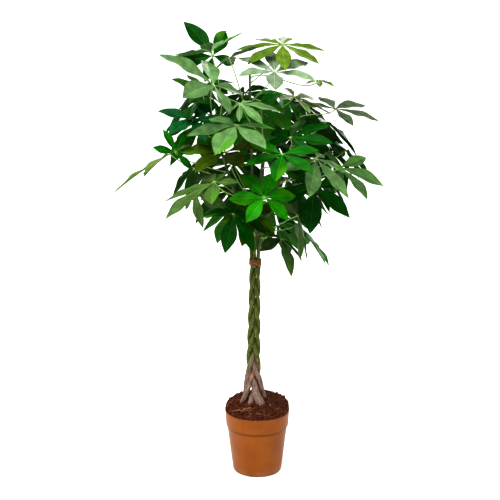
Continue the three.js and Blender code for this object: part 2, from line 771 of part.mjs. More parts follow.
// One leaflet, grown from a side face of the hub.
function addLeaflet(shell, leaf, frame, hub, angle, root) {
  const length = leaf.size * (1 - leaf.fade * Math.sin(angle / 2) ** 2);
  const outward = frame.forward
    .clone()
    .multiplyScalar(Math.cos(angle))
    .addScaledVector(frame.left, Math.sin(angle));
  const left = frame.normal.clone().cross(outward);
  const droop = radians(leaf.droop);
  const run = outward
    .clone()
    .multiplyScalar(Math.cos(droop))
    .addScaledVector(frame.normal, -Math.sin(droop));
  const rib = (t) =>
    hub
      .clone()
      .addScaledVector(run, length * t)
      .addScaledVector(UP, -length * leaf.sag * t * t);
  const fold = radians(LEAF.fold);
  const full = leaf.halfWidth * length * Math.min(1, leaf.step / LEAF.fullStep);

  const section = ([t, share]) => {
    const along = run.clone().addScaledVector(UP, -2 * leaf.sag * t).normalize();
    const up = along.clone().cross(left).normalize();
    const reach = full * share;
    const edge = (sign) =>
      rib(t)
        .addScaledVector(left, sign * reach * Math.cos(fold))
        .addScaledVector(up, reach * Math.sin(fold));
    return {
      r: shell.vertex(edge(-1)),
      m: shell.vertex(rib(t).addScaledVector(up, LEAF.midrib / 2)),
      l: shell.vertex(edge(1)),
      n: shell.vertex(rib(t).addScaledVector(up, -LEAF.midrib / 2)),
    };
  };

  const sections = LEAF.stations.map(section);
  const s = sections[0];
  shell.triangle(root.tr, s.r, s.m);
  shell.triangle(root.tr, s.m, root.tl);
  shell.triangle(root.tl, s.m, s.l);
  shell.triangle(root.br, s.n, s.r);
  shell.triangle(root.br, root.bl, s.n);
  shell.triangle(root.bl, s.l, s.n);
  shell.triangle(root.tr, root.br, s.r);
  shell.triangle(root.tl, s.l, root.bl);
  for (let i = 1; i < sections.length; i++) {
    const [a, b] = [sections[i - 1], sections[i]];
    shell.triangle(a.r, b.r, b.m);
    shell.triangle(a.r, b.m, a.m);
    shell.triangle(a.m, b.m, b.l);
    shell.triangle(a.m, b.l, a.l);
    shell.triangle(a.r, b.n, b.r);
    shell.triangle(a.r, a.n, b.n);
    shell.triangle(a.n, b.l, b.n);
    shell.triangle(a.n, a.l, b.l);
  }
  const e = sections.at(-1);
  const tip = shell.vertex(rib(1));
  shell.triangle(e.r, tip, e.m);
  shell.triangle(e.m, tip, e.l);
  shell.triangle(e.r, e.n, tip);
  shell.triangle(e.n, e.l, tip);
}

// ---------- assembly ----------

const MATERIALS = {
  plastic: new THREE.MeshStandardMaterial({ color: 0xb5652e, roughness: 0.6 }),
  peat: new THREE.MeshStandardMaterial({ color: 0x3a1d12, roughness: 1 }),
  bark: new THREE.MeshStandardMaterial({ color: 0x6f7a3a, roughness: 0.8 }),
  tie: new THREE.MeshStandardMaterial({ color: 0x8a5a2c, roughness: 0.8 }),
  leaf: new THREE.MeshStandardMaterial({ color: 0x2f7a2c, roughness: 0.5 }),
};

const tree = new THREE.Group();

function add(name, geometry, material) {
  const mesh = new THREE.Mesh(geometry, material);
  mesh.name = name;
  tree.add(mesh);
}

add("pot", potGeometry(), MATERIALS.plastic);
add("soil", soilGeometry([0, 1, 2, 3, 4]), MATERIALS.peat);
const stems = STEMS.map((_, i) => stemGeometry(i));
stems.forEach((geometry, i) => add("stem_" + (i + 1), geometry, MATERIALS.bark));
add("braid_tie", tieGeometry(), MATERIALS.tie);
const front = FRONT_LEAVES.map((leaf) => leafGeometry({ halfWidth: LEAF.halfWidth, ...leaf }));
const crown = growCrown([...stems, ...front]).map(leafGeometry);
[...front, ...crown].forEach((geometry, i) => {
  add("leaf_" + String(i + 1).padStart(2, "0"), geometry, MATERIALS.leaf);
});

export default tree;
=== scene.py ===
"""Looks of the potted money tree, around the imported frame.

Shapes are worked out in millimetres, by the same rules as the solids, and turned to metres when a mesh
is made. +Z is up and -Y is the front.
"""

import math
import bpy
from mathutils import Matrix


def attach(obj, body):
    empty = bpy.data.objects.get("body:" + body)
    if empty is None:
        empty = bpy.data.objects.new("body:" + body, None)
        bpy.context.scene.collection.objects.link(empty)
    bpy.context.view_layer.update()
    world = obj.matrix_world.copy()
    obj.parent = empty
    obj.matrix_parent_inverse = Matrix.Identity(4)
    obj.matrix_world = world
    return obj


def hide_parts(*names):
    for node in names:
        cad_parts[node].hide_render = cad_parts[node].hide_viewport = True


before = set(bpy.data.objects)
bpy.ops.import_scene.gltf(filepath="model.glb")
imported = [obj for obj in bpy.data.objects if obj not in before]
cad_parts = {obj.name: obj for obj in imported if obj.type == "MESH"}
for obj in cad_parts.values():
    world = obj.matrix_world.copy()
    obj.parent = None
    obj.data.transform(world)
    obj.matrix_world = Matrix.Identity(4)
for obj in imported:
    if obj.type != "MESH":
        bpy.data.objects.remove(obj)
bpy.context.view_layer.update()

from types import SimpleNamespace as Sizes

import bmesh
import bpy
import numpy as np
from mathutils import Vector, noise

METRE = 0.001
GAP = 0.3
UP = Vector((0, 0, 1))

# ---------- sizes, as in the solids ----------

POT = Sizes(
    height=205, lip_radius=105, lip_inner=101.5, band_height=50, band_step=3.5, wall_top=98.5,
    wall_foot=80, wall=2.2, floor=6.5, chamfer=6, pad_radius=45, foot_inner=66, foot_outer=75,
    recess=2.5, drain_holes=6, drain_radius=5,
)
SOIL = Sizes(edge=205.6, crown=33, crown_at=(6, 38))
PLAIT = Sizes(
    foot=335, head=712, period=330, edge_height=386, half_width=(17.0, 12.2),
    half_depth=(13.4, 10.2), dwell=1.25, radius=(6.8, 5.0), axis=((-13, 5), (-7, 0)), knots=18,
)
TIE = Sizes(bottom=689, top=711, square=0.56)
BURIED = 118  # how low the stems' root ends are
TIP_RADIUS = 3.2

# leg points, root end, radius at the thigh, at the soil, and where the shoot ends
STEMS = [
    ([(-17, 12, 320), (-12, 4, 304), (-8, -7, 285), (-1, -15, 255), (16, -22, 215)],
     (26, -32), 7.0, 13, (-145, -35, 1180)),
    ([(-31, 9, 308), (-33, 20, 285), (-35, 35, 255), (-38, 52, 215)],
     (-46, 64), 8.8, 9.5, (20, -125, 1120)),
    ([(-17, -3, 320), (-22, -8, 304), (-28, -9, 285), (-40, -5, 250), (-54, 2, 215)],
     (-64, 6), 6.3, 6.4, (30, 130, 1210)),
    ([(0, 15, 312), (-6, 14, 290), (-11, 5, 268), (-18, -9, 243), (-25, -22, 215)],
     (-31, -34), 6.6, 8.5, (130, -30, 1170)),
    ([(5, -2, 315), (9, 4, 295), (15, 14, 262), (25, 28, 215)],
     (34, 40), 7.4, 9.5, (-25, 10, 1300)),
]

LEAF = Sizes(petiole_radius=1.9, hub_radius=4.6, hub_height=3.4, full_step=52, fold=13)

# A leaf's stem, the height its stalk leaves it at, where the blade sits, the longest leaflet's length, how
# many leaflets, the blade's lean and heading, where the longest leaflet points, and the leaflets' droop, sag,
# angle apart, loss of length towards the back, half width as a share of length, and tone of the upper side.
FIELDS = ("stem", "start", "hub", "size", "count", "lean", "toward", "spin", "droop", "sag", "step",
          "fade", "half_width", "tone")

# Leaves of the front and of the outline.
FRONT_LEAVES = [
    (1, 1150, (-125, -205, 1260), 190, 5, 40, 325, 175, 0, 0.1, 67, 0.5, 0.2, "pale"),
    (1, 1130, (-140, -35, 1355), 145, 6, 20, 175, 145, -10, 0, 49, 0.2, 0.17, "pale"),
    (5, 1170, (-85, -95, 1335), 105, 5, 30, 165, 20, 5, 0.03, 67, 0.35, 0.17, "silver"),
    (5, 1200, (50, -115, 1295), 130, 6, 25, 285, 125, -10, 0.12, 58, 0, 0.2, "silver"),
    (5, 1260, (75, -30, 1375), 150, 7, 20, 275, 225, 10, 0.01, 48, 0.1, 0.17, "olive"),
    (4, 1160, (240, 30, 1180), 160, 5, 25, 65, 300, 5, 0.05, 55, 0.45, 0.17, "frost"),
    (5, 1130, (110, -40, 1220), 125, 5, 25, 330, 355, 0, 0.05, 58, 0.4, 0.17, "olive"),
    (2, 1110, (-50, -235, 1210), 125, 6, 30, 240, 35, 25, 0.12, 55, 0.65, 0.18, "pale"),
    (2, 1090, (-60, -230, 1150), 165, 5, 20, 270, 250, 5, 0.03, 55, 0.5, 0.2, "pale"),
    (1, 1090, (-195, -85, 1155), 115, 5, 35, 285, 295, -10, 0.11, 60, 0.05, 0.21, "blue"),
    (1, 970, (-270, -20, 1045), 205, 5, 30, 170, 190, 0, 0.12, 60, 0.5, 0.17, "olive"),
    (1, 990, (-245, -110, 1060), 80, 5, 65, 300, 85, 0, 0, 55, 0.1, 0.17, "plain"),
    (2, 920, (-120, -330, 1000), 185, 6, 25, 205, 185, 5, 0.01, 53, 0.6, 0.17, "dull"),
    (1, 790, (-70, -215, 890), 120, 6, 35, 285, 30, 25, 0.14, 51, 0.1, 0.22, "dark"),
    (2, 950, (20, -250, 945), 115, 6, 50, 285, 105, 10, 0.03, 55, 0.2, 0.22, "fresh"),
    (2, 1010, (170, -190, 1050), 155, 6, 30, 305, 295, 15, 0.04, 54, 0.5, 0.17, "pale"),
    (4, 940, (245, -125, 1015), 150, 5, 60, 40, 40, -25, 0.16, 56, 0.43, 0.17, "pale"),
    (4, 910, (170, -110, 955), 150, 5, 50, 285, 270, 5, 0.06, 60, 0.3, 0.2, "dark"),
    (4, 800, (120, -150, 875), 185, 5, 65, 350, 85, 15, 0.08, 62, 0.37, 0.17, "dull"),
    (4, 780, (75, -75, 790), 125, 5, 35, 335, 300, 15, 0.15, 66, 0.65, 0.2, "dull"),
    (4, 1060, (95, -180, 1110), 150, 6, 35, 240, 50, 15, 0.04, 44, 0.5, 0.2, "dark"),
    (1, 830, (-195, -45, 940), 135, 5, 70, 230, 300, 25, 0.06, 56, 0.5, 0.17, "dull"),
    (1, 1160, (-165, 35, 1225), 135, 5, 50, 35, 240, 10, 0.12, 62, 0.39, 0.2, "dark"),
    (1, 1100, (-140, 105, 1340), 150, 5, 70, 298, 145, 15, 0.01, 65, 0.5, 0.2, "dark"),
    (2, 1060, (70, -260, 1070), 120, 5, 30, 270, 260, 0, 0.05, 57, 0.1, 0.2, "plain"),
    (2, 900, (-95, -165, 1065), 135, 5, 25, 245, 230, -10, 0.11, 65, 0, 0.21, "bronze"),
    (2, 790, (-20, -105, 870), 105, 5, 50, 270, 255, 5, 0.05, 66, 0.3, 0.22, "bronze"),
    (5, 1275, (190, 70, 1265), 60, 5, 10, 300, 330, 5, 0.1, 58, 0.2, 0.17, "olive"),
]

# Leaves of the crown are drawn by rule, and the frame says which of the drawn places were taken.
CROWN = Sizes(
    seed=10, leaves=24, lowest=740, below_top=10, reach=(45, 230), rise=(20, 120), size=(125, 190),
    half_width=0.215, count=(6, 7), lean=(25, 50), turn=(-25, 25), droop=(8, 24), sag=(0.08, 0.2),
    step=56, full_circle=345, fade=0.4, most_draws=20000, match=0.6,
)

# Tones of a blade's upper side, as linear colours. The pale tone and the two grey ones that follow it are the
# leaf's green with painted sheen, standing in for the bright sky that glossy, upward-facing leaves reflect.
TONES = dict(
    plain=(0.006, 0.105, 0.002),
    pale=(0.09, 0.176, 0.062),
    silver=(0.155, 0.218, 0.13),
    frost=(0.22, 0.266, 0.185),
    dull=(0.052, 0.098, 0.024),
    # Partly painted shade: the darkest tone, given to leaves deep inside, behind and under the crown.
    dark=(0.001, 0.052, 0.001),
    blue=(0.004, 0.07, 0.018),
    olive=(0.082, 0.135, 0.014),
    fresh=(0.016, 0.19, 0.002),
    bronze=(0.042, 0.068, 0.002),
)
# The crown's leaves, which sit inside and behind the front ones, take only the darker tones: partly their own
# green, partly painted shade of the crown's inside.
CROWN_TONES = ("plain", "dark", "dark", "plain", "dark")
LEAFLET_SHADES = (0.82, 1.18)  # how much a leaflet's tone may differ from its leaf's


# ---------- helpers ----------

def lerp(pair, t):
    return pair[0] + (pair[1] - pair[0]) * t


def shares(steps):
    """Even steps from 0 to 1."""
    return [i / steps for i in range(steps + 1)]


def polar(radius, angle):
    return radius * math.cos(angle), radius * math.sin(angle)


def seeded(seed):
    """The same repeatable random number source as the solids'."""
    mask = 0xFFFFFFFF
    state = seed & mask

    def draw():
        nonlocal state
        state = (state + 0x6D2B79F5) & mask
        t = state
        t = ((t ^ (t >> 15)) * (t | 1)) & mask
        t ^= (t + (t ^ (t >> 7)) * (t | 61)) & mask
        return (t ^ (t >> 14)) / 4294967296

    return draw


def add_object(name, data):
    made = bpy.data.objects.new(name, data)
    bpy.context.scene.collection.objects.link(made)
    return made


def mesh_object(name, points, faces, materials=(), crease=40, values=None, slots=None):
    """A piece from points in millimetres. values: name -> a vector or a colour for each point."""
    mesh = bpy.data.meshes.new(name)
    mesh.from_pydata((np.asarray(points, float) * METRE).tolist(), [], faces)
    for attribute, column in (values or {}).items():
        kind, field = ("FLOAT_VECTOR", "vector") if len(column[0]) == 3 else ("FLOAT_COLOR", "color")
        layer = mesh.attributes.new(attribute, kind, "POINT")
        layer.data.foreach_set(field, np.asarray(column, np.float32).ravel())
    for material in materials:
        mesh.materials.append(MATERIALS[material])
    if slots:
        mesh.polygons.foreach_set("material_index", slots)
    mesh.shade_smooth()
    mesh.set_sharp_from_angle(angle=math.radians(crease))
    mesh.update()
    return add_object(name, mesh)


def finish_piece(piece, slot, *nodes):
    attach(piece, "root")
    if nodes:
        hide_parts(*nodes)


def bezier(points, t):
    a, b, c, d = points
    s = 1 - t
    return a * s**3 + b * (3 * s * s * t) + c * (3 * s * t * t) + d * t**3


def ring_faces(rings):
    """Faces between rings of point numbers that lie one above another."""
    for low, high in zip(rings, rings[1:]):
        for k in range(len(low)):
            yield low[k - 1], low[k], high[k], high[k - 1]


def tube(line, radii, sides, relief=None, first=(1, 0, 0)):
    """Points and faces of a closed tube. relief(i, k) scales the radius at station i and side k."""
    ends_doubled = np.pad(np.asarray(line, float), ((1, 1), (0, 0)), "edge")
    along = ends_doubled[2:] - ends_doubled[:-2]
    along /= np.linalg.norm(along, axis=1, keepdims=True)
    side = np.array(first, float)
    points = []
    for i, (at, radius) in enumerate(zip(line, radii)):
        side = side - along[i] * side.dot(along[i])
        side /= np.linalg.norm(side)
        other = np.cross(along[i], side)
        for k in range(sides):
            a = math.tau * k / sides
            r = radius * (relief(i, k) if relief else 1)
            points.append(np.asarray(at) + side * (r * math.cos(a)) + other * (r * math.sin(a)))
    rings = np.arange(len(points)).reshape(-1, sides).tolist()
    return points, [*ring_faces(rings), rings[0][::-1], rings[-1]]


def ball(subdivisions, place):
    """Points and faces of a small closed form. place moves a point of the unit ball."""
    made = bmesh.new()
    bmesh.ops.create_icosphere(made, subdivisions=subdivisions, radius=1)
    made.verts.ensure_lookup_table()
    points = [tuple(place(v.co)) for v in made.verts]
    faces = [tuple(v.index for v in f.verts) for f in made.faces]
    made.free()
    return points, faces


class Pile:
    """Points, faces and values of parts that are put one after another into one mesh."""

    def __init__(self):
        self.points, self.faces, self.slots, self.values = [], [], [], {}

    def add(self, points, faces, slot=0, **values):
        start = len(self.points)
        self.points.extend(points)
        self.faces.extend(tuple(start + v for v in face) for face in faces)
        self.slots.extend([slot] * len(faces))
        for name, column in values.items():
            self.values.setdefault(name, []).extend(column)

    def piece(self, name, *materials, crease=40):
        return mesh_object(name, self.points, self.faces, materials, crease, self.values, self.slots)


# ---------- materials ----------

class Tree:
    """A node tree, with short calls for the nodes used here."""

    def __init__(self, owner):
        owner.use_nodes = True
        self.tree = owner.node_tree

    def link(self, source, target):
        self.tree.links.new(source, target)

    def put(self, value, target):
        """Sets a socket to a number or colour, or links another socket to it."""
        if isinstance(value, bpy.types.NodeSocket):
            self.link(value, target)
        elif target.type == "RGBA":
            target.default_value = (*value, 1)
        else:
            target.default_value = value

    def node(self, kind, *values, **settings):
        """A new node with its settings, and with values put on its first sockets."""
        made = self.tree.nodes.new("ShaderNode" + kind)
        for name, setting in settings.items():
            setattr(made, name, setting)
        for value, socket in zip(values, made.inputs):
            self.put(value, socket)
        return made

    def attribute(self, name, output="Vector"):
        return self.node("Attribute", attribute_name=name).outputs[output]

    def split(self, vector):
        return tuple(self.node("SeparateXYZ", vector).outputs)

    def join(self, x, y, z):
        return self.node("CombineXYZ", x, y, z).outputs[0]

    def position(self):
        return self.node("NewGeometry").outputs["Position"]

    def scaled(self, vector, factors):
        return self.node("VectorMath", vector, factors, operation="MULTIPLY").outputs[0]

    def math(self, operation, a, b=0.0):
        return self.node("Math", a, b, operation=operation).outputs[0]

    def times(self, a, b):
        return self.math("MULTIPLY", a, b)

    def plus(self, a, b):
        return self.math("ADD", a, b)

    def minus(self, a, b):
        return self.math("SUBTRACT", a, b)

    def size_of(self, value):
        return self.math("ABSOLUTE", value)

    def ramp(self, *values):
        """A smooth step of a value, from low to high. It goes from 0 to 1, or between two more numbers."""
        return self.node("MapRange", *values, interpolation_type="SMOOTHSTEP").outputs[0]

    def noise(self, vector, scale, detail=3.0, roughness=0.5):
        made = self.node("TexNoise", vector)
        for name, value in (("Scale", scale), ("Detail", detail), ("Roughness", roughness)):
            made.inputs[name].default_value = value
        return made.outputs["Fac"]

    def mix(self, share, a, b, blend="MIX"):
        made = self.node("Mix", share, data_type="RGBA", blend_type=blend)
        for value, socket in zip((a, b), (s for s in made.inputs if s.type == "RGBA")):
            self.put(value, socket)
        return next(s for s in made.outputs if s.type == "RGBA")


class Look(Tree):
    """A material's nodes, with its shader."""

    def __init__(self, name):
        self.material = bpy.data.materials.new(name)
        super().__init__(self.material)
        self.tree.nodes.clear()
        self.out = self.node("OutputMaterial")
        self.shader = self.node("BsdfPrincipled")
        self.link(self.shader.outputs[0], self.out.inputs["Surface"])

    def bump(self, height, distance, strength):
        made = self.node("Bump", strength, distance)
        self.link(height, made.inputs["Height"])
        self.link(made.outputs[0], self.shader.inputs["Normal"])
        return made.outputs[0]

    def surface(self, colour, roughness, specular=0.5):
        inputs = self.shader.inputs
        self.put(colour, inputs["Base Color"])
        self.put(roughness, inputs["Roughness"])
        self.put(specular, inputs["Specular IOR Level"])
        return self.material


# The veins of a leaflet: the side veins' distance apart in millimetres, how far they slant and curve forward
# on their way out, and how strongly they and the midrib show.
VEINS = Sizes(pitch=9.5, slant=0.75, curve=0.012, side=0.22, midrib=0.62)
VEIN_GAIN = (2.6, 2.2, 2.6)
VEIN_LIFT = (0.035, 0.075, 0.012)
BLADE = Sizes(
    mottle=(0.03, 0.15, 0.006), margin=(0.06, 0.15, 0.006), young=(0.06, 0.215, 0.004),
    under=(0.05, 0.13, 0.02), dry_tip=(0.16, 0.09, 0.03), glow=(1, 0.85, 0.35),
)
BLADE_SPECULAR = 0.07
BLADE_GLOW = 0.2  # the share of light that shines through
SEED_SPREAD = 97  # how far apart the leaflets' patterns lie


def blade_veins(n, across, along, x, a):
    """How far a place is on the midrib, and how far on a side vein."""
    beside = n.size_of(x)
    slope = n.plus(n.times(beside, VEINS.slant), n.times(n.math("POWER", beside, 2), VEINS.curve))
    phase = n.math("DIVIDE", n.minus(a, slope), VEINS.pitch)
    off = n.size_of(n.minus(n.math("FRACT", phase), 0.5))
    side = n.ramp(n.times(off, VEINS.pitch), 1, 0.15)
    side = n.times(side, n.ramp(n.size_of(across), 1, 0.55))
    midrib = n.ramp(n.times(beside, n.plus(along, 1)), 1.3, 0.3)
    return midrib, side


def blade_body(n, across, along, seed, broad, fine):
    """The upper side's colour between the veins. Some leaflets are flushed with young green on one half."""
    shade = n.ramp(broad, 0.3, 0.7, 0.78, 1.22)
    body = n.mix(1, n.attribute("tint", "Color"), n.join(shade, shade, shade), "MULTIPLY")
    body = n.mix(n.ramp(fine, 0.45, 0.8, 0, 0.1), body, BLADE.mottle)
    margin = n.ramp(n.size_of(across), 0.93, 1, 0, 0.25)
    body = n.mix(margin, body, BLADE.margin)
    flush = n.times(n.ramp(along, 0.3, 0.75), n.ramp(across, -0.4, 0.5))
    chosen = n.ramp(n.math("FRACT", n.times(seed, 13)), 0.7, 0.8, 0, 0.7)
    return n.mix(n.times(flush, chosen), body, BLADE.young)


def blade_material():
    n = Look("leaf_blade")
    across, along, upper = n.split(n.attribute("place"))
    x, a, seed = n.split(n.attribute("measure"))
    spot = n.join(x, a, n.times(seed, SEED_SPREAD))
    broad = n.noise(spot, 0.035, 2)
    fine = n.noise(spot, 0.5, 4)
    midrib, side = blade_veins(n, across, along, x, a)
    veins = n.math("MAXIMUM", n.times(midrib, VEINS.midrib), n.times(side, VEINS.side))
    stalk = n.ramp(a, 12, 4)
    body = blade_body(n, across, along, seed, broad, fine)
    light = n.mix(1, n.mix(1, body, VEIN_GAIN, "MULTIPLY"), VEIN_LIFT, "ADD")
    colour = n.mix(n.math("MAXIMUM", veins, stalk), body, light)
    colour = n.mix(upper, n.mix(0.35, colour, BLADE.under), colour)
    dried = n.ramp(n.math("FRACT", n.times(seed, 7)), 0.55, 0.7)
    colour = n.mix(n.times(n.ramp(along, 0.975, 1), dried), colour, BLADE.dry_tip)
    roughness = n.plus(n.ramp(upper, 0, 1, 0.56, 0.34), n.ramp(fine, 0.3, 0.7, -0.04, 0.08))
    relief = n.minus(n.times(fine, 0.35), n.plus(n.times(side, 0.8), midrib))
    normal = n.bump(relief, 0.0006, 0.55)
    n.surface(colour, roughness, BLADE_SPECULAR)
    glow = n.node("BsdfTranslucent", n.mix(1, colour, BLADE.glow, "MULTIPLY"))
    n.link(normal, glow.inputs["Normal"])
    blend = n.node("MixShader", BLADE_GLOW, n.shader.outputs[0], glow.outputs[0])
    n.link(blend.outputs[0], n.out.inputs["Surface"])
    return n.material


STALK = Sizes(dark=(0.12, 0.24, 0.04), light=(0.27, 0.38, 0.11), ends=(0.2, 0.17, 0.06), roughness=0.42)


def stalk_material():
    n = Look("leaf_stalk")
    x, a, seed = n.split(n.attribute("measure"))
    spot = n.join(n.times(x, 3), n.times(a, 0.15), n.times(seed, SEED_SPREAD))
    grain = n.noise(spot, 0.9, 3)
    colour = n.mix(n.ramp(grain, 0.35, 0.7), STALK.dark, STALK.light)
    colour = n.mix(n.ramp(a, 12, 0, 0, 0.6), colour, STALK.ends)
    n.bump(grain, 0.0004, 0.5)
    return n.surface(colour, STALK.roughness)


# Pairs are the dark and light streaks of one kind of bark. The palest colour, on the lower legs, is a painted
# highlight.
BARK = Sizes(
    green=((0.022, 0.036, 0.004), (0.125, 0.15, 0.022)),
    woody=((0.07, 0.038, 0.026), (0.31, 0.215, 0.165)),
    young=((0.03, 0.042, 0.012), (0.1, 0.115, 0.045)),
    foot=(0.13, 0.085, 0.07), peeled=(0.34, 0.105, 0.032), shine=(0.62, 0.52, 0.47),
    lichen=(0.48, 0.44, 0.36), crack=(0.05, 0.035, 0.02), scar=(0.07, 0.045, 0.022),
)
BARK_SPECULAR = 0.25
FORK_MIDDLE = -0.012  # where the trunk's middle is from left to right, in metres
PEELED_AT = (-0.011, -0.012, 0.322)  # where the bark has come off a leg, above the fork, in metres


def bark_material():
    """Grey-brown bark on the legs, which reaches highest in the middle of the fork, and green above."""
    n = Look("bark")
    x, a, scar = n.split(n.attribute("grain"))
    left_right, _, z = n.split(n.position())
    streak = n.noise(n.join(x, n.times(a, 0.09), 0), 0.55, 5, 0.6)
    flecks = n.noise(n.join(x, a, 3), 0.35, 4, 0.65)
    rings = n.noise(n.join(n.times(x, 0.05), a, 8), 0.5, 3)
    green = n.mix(n.ramp(streak, 0.35, 0.68), *BARK.green)
    woody = n.mix(n.ramp(streak, 0.38, 0.66), *BARK.woody)
    young = n.mix(n.ramp(streak, 0.4, 0.65), *BARK.young)
    wander = n.plus(z, n.ramp(flecks, 0.25, 0.75, -0.03, 0.03))
    beside = n.math("MINIMUM", n.size_of(n.minus(left_right, FORK_MIDDLE)), 0.02)
    wander = n.plus(wander, n.times(beside, 2.5))
    colour = n.mix(n.ramp(wander, 0.36, 0.43), woody, green)
    colour = n.mix(n.ramp(z, 0.3, 0.22, 0, 0.5), colour, BARK.foot)
    away = n.node("VectorMath", n.position(), PEELED_AT, operation="DISTANCE").outputs["Value"]
    peeled = n.ramp(away, 0.012, 0.004, 0, 0.7)
    colour = n.mix(peeled, colour, BARK.peeled)
    # Painted highlight: pale flecks on the lower legs, standing in for light glinting off the bark.
    shine = n.times(n.ramp(flecks, 0.6, 0.68), n.ramp(z, 0.3, 0.26, 0, 0.7))
    colour = n.mix(shine, colour, BARK.shine)
    colour = n.mix(n.ramp(z, 0.78, 1.05), colour, young)
    colour = n.mix(n.ramp(flecks, 0.62, 0.72, 0, 0.55), colour, BARK.lichen)
    colour = n.mix(n.ramp(rings, 0.62, 0.72, 0, 0.5), colour, BARK.crack)
    colour = n.mix(n.times(scar, 0.75), colour, BARK.scar)
    height = n.minus(n.plus(streak, n.times(flecks, 0.5)), n.ramp(rings, 0.55, 0.75))
    n.bump(height, 0.0012, 0.8)
    return n.surface(colour, n.ramp(flecks, 0.3, 0.7, 0.45, 0.7), BARK_SPECULAR)


PEAT = Sizes(
    bed=((0.017, 0.0048, 0.002), (0.082, 0.0225, 0.0095)),
    crumbs=((0.034, 0.009, 0.0035), (0.13, 0.041, 0.018)),
    fibre=(0.17, 0.085, 0.045),
    specular=0.12,
)


def peat_material(name, dark, light):
    n = Look(name)
    at = n.position()
    lumps = n.noise(at, 110, 5, 0.65)
    fibres = n.noise(n.scaled(at, (1, 2.6, 1.4)), 420, 4, 0.7)
    colour = n.mix(n.ramp(lumps, 0.34, 0.66), dark, light)
    colour = n.mix(n.ramp(fibres, 0.58, 0.7, 0, 0.55), colour, PEAT.fibre)
    n.bump(n.plus(lumps, n.times(fibres, 0.6)), 0.0022, 0.9)
    return n.surface(colour, n.ramp(lumps, 0.3, 0.7, 0.98, 0.78), PEAT.specular)


# The darkest colour here, used under the band, is painted shade.
PLASTIC = Sizes(
    body=((0.165, 0.048, 0.0025), (0.2, 0.062, 0.005)), flow=(0.25, 0.085, 0.015),
    under_band=(0.062, 0.014, 0.0005), dust=(0.36, 0.26, 0.19), crumbs=(0.1, 0.045, 0.02),
    specular=0.2,
)


def plastic_material():
    """Moulded plastic, with painted shade under the band, dust at the foot and crumbs of peat at the lip."""
    n = Look("pot_plastic")
    at = n.position()
    z = n.split(at)[2]
    mottle = n.noise(at, 14, 4, 0.6)
    speck = n.noise(at, 900, 2, 0.6)
    flow = n.noise(n.scaled(at, (1, 1, 0.08)), 60, 4, 0.6)
    colour = n.mix(n.ramp(mottle, 0.3, 0.7), *PLASTIC.body)
    colour = n.mix(n.ramp(flow, 0.52, 0.75, 0, 0.22), colour, PLASTIC.flow)
    # Painted shade: a darker strip on the wall just below the band's lower edge, where the band's step shades
    # it.
    under_band = n.times(n.ramp(z, 0.144, 0.1535, 0, 0.7), n.ramp(z, 0.1557, 0.1549))
    colour = n.mix(under_band, colour, PLASTIC.under_band)
    dust = n.times(n.ramp(z, 0.03, 0), n.ramp(mottle, 0.35, 0.65, 0.03, 0.18))
    colour = n.mix(dust, colour, PLASTIC.dust)
    crumbs = n.times(n.ramp(z, 0.188, 0.204), n.ramp(n.noise(at, 75, 5, 0.7), 0.56, 0.64, 0, 0.6))
    colour = n.mix(crumbs, colour, PLASTIC.crumbs)
    scuff = n.ramp(n.noise(n.scaled(at, (1, 1, 3.5)), 38, 5, 0.75), 0.62, 0.7)
    n.bump(n.plus(speck, n.times(scuff, 0.6)), 0.00022, 0.6)
    roughness = n.plus(n.ramp(mottle, 0.3, 0.7, 0.36, 0.46), n.times(scuff, 0.14))
    return n.surface(colour, roughness, PLASTIC.specular)


ROOT = Sizes(dark=(0.1, 0.04, 0.018), light=(0.27, 0.13, 0.07), scale=260, roughness=0.8)
TWINE = Sizes(dark=(0.06, 0.04, 0.01), light=(0.27, 0.095, 0.024), scale=150, roughness=0.75)


def fibre_material(name, fibre):
    n = Look(name)
    grain = n.noise(n.scaled(n.position(), (1, 1, 2.2)), fibre.scale, 4, 0.65)
    n.bump(grain, 0.0006, 0.7)
    colour = n.mix(n.ramp(grain, 0.35, 0.65), fibre.dark, fibre.light)
    return n.surface(colour, fibre.roughness)


MATERIALS = dict(
    blade=blade_material(),
    stalk=stalk_material(),
    bark=bark_material(),
    peat=peat_material("peat", *PEAT.bed),
    crumbs=peat_material("peat_crumbs", *PEAT.crumbs),
    plastic=plastic_material(),
    root=fibre_material("root_bits", ROOT),
    twine=fibre_material("tie_band", TWINE),
)


# ---------- pot ----------

POT_SEGMENTS = 96
POT_CREASE = 38  # degrees between faces, from which an edge shows


def lathe(outline, segments):
    """Points and faces of a solid of revolution from a closed outline of (radius, height)."""
    points, rings = [], []
    for radius, height in outline:
        if radius == 0:
            rings.append([len(points)] * segments)
            points.append((0, 0, height))
            continue
        rings.append(list(range(len(points), len(points) + segments)))
        points += [(*polar(radius, math.tau * k / segments), height) for k in range(segments)]
    faces = (tuple(dict.fromkeys(face)) for face in ring_faces(rings))
    return points, [face for face in faces if len(face) > 2]


def arc(centre, radius, start, end, steps):
    """Points of a rounded edge of the outline. The angles are in degrees."""
    turns = (polar(radius, math.radians(lerp((start, end), t))) for t in shares(steps))
    return [(centre[0] + x, centre[1] + y) for x, y in turns]


def slope(low, high, places):
    """Points of a straight side of the outline, at shares of its length."""
    return [tuple(lerp(pair, t) for pair in zip(low, high)) for t in places]


